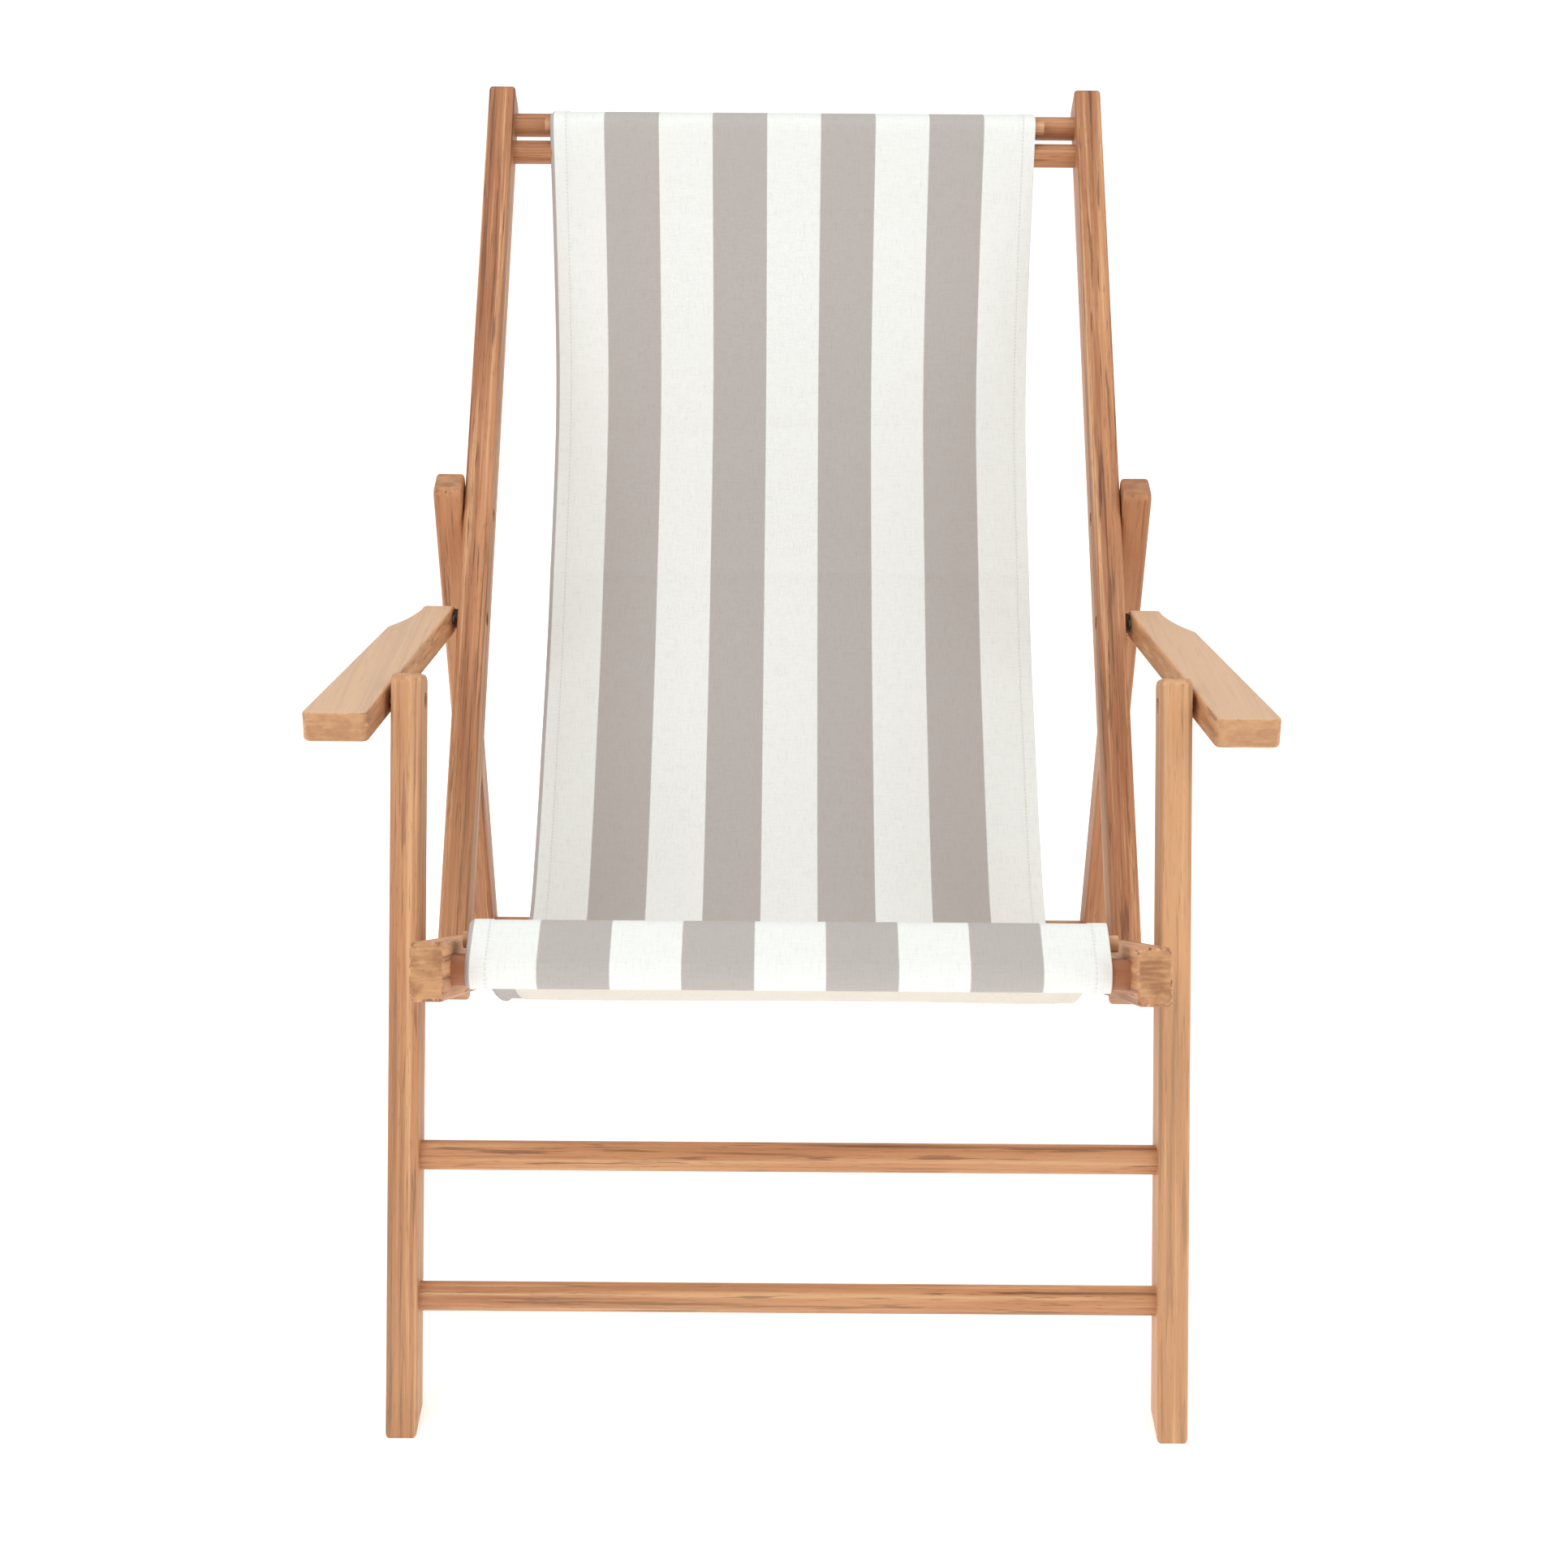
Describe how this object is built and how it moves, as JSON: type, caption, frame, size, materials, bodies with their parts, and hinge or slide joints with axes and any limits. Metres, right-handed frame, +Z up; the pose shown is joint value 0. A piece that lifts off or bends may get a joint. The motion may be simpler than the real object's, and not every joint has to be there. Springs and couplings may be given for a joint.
{
  "type": "folding deck chair",
  "caption": "Folding teak deck chair with flat arms, a hung striped fabric sling, two props on notched seat rails and round cross bars.",
  "frame": {"origin": "on the floor, under the middle of the chair's overall box", "axes": "+X to the right seen from the front, +Y towards the head end, +Z up"},
  "size_m": [0.7082, 0.9084, 0.8494],
  "materials": {
    "teak": "fine sanded, lightly oiled",
    "sling": "plain weave, matt",
    "steel": "zinc plated"
  },
  "bodies": {
    "seat_frame": {"seat_rail_left": "teak", "seat_rail_right": "teak", "seat_front_bar": "teak", "seat_second_bar": "teak", "seat_rear_bar": "teak", "seat_hem_rod": "teak", "sling_seat": "sling", "back_pivot_bolts": "steel", "back_pivot_nuts": "steel", "leg_pivot_bolts": "steel", "leg_pivot_spacers": "steel", "leg_pivot_nuts": "steel"},
    "back_frame": {"back_rail_left": "teak", "back_rail_right": "teak", "head_bar_lower": "teak", "head_bar_upper": "teak", "head_hem_rod": "teak", "sling_back": "sling", "arm_rear_bolts": "steel", "arm_rear_spacers": "steel", "arm_rear_nuts": "steel", "prop_pivot_bolts": "steel", "prop_pivot_washers": "steel", "prop_pivot_nuts": "steel"},
    "front_legs": {"front_leg_left": "teak", "front_leg_right": "teak", "leg_stretcher_lower": "teak", "leg_stretcher_upper": "teak", "arm_front_bolts": "steel", "arm_front_washers": "steel"},
    "prop_frame": {"prop_leg_left": "teak", "prop_leg_right": "teak", "prop_bar": "teak"},
    "arm_left": {"arm_left": "teak"},
    "arm_right": {"arm_right": "teak"}
  },
  "joints": [
    {"name": "back_fold", "type": "hinge", "parent": "seat_frame", "child": "back_frame", "pos_m": [0, -0.14353, 0.26964], "axis": [-1, 0, 0], "range_deg": [0, 58], "deforming": ["sling_back", "sling_seat"]},
    {"name": "leg_fold", "type": "hinge", "parent": "seat_frame", "child": "front_legs", "pos_m": [0, -0.22855, 0.3204], "axis": [-1, 0, 0], "range_deg": [0, 71.25]},
    {"name": "prop_fold", "type": "hinge", "parent": "back_frame", "child": "prop_frame", "pos_m": [0, 0.13573, 0.54452], "axis": [1, 0, 0], "range_deg": [0, 116]},
    {"name": "arm_left_fold", "type": "hinge", "parent": "back_frame", "child": "arm_left", "pos_m": [0, 0.05998, 0.4805], "axis": [1, 0, 0], "range_deg": [0, 35.13]},
    {"name": "arm_right_fold", "type": "hinge", "parent": "back_frame", "child": "arm_right", "pos_m": [0, 0.05998, 0.4805], "axis": [1, 0, 0], "range_deg": [0, 35.13]}
  ],
  "couplings": [
    {"joint": "leg_fold", "follows": "back_fold", "ratio": 1.2267},
    {"joint": "prop_fold", "follows": "back_fold", "ratio": 2},
    {"joint": "arm_left_fold", "follows": "back_fold", "ratio": 0.604},
    {"joint": "arm_right_fold", "follows": "back_fold", "ratio": 0.604}
  ]
}
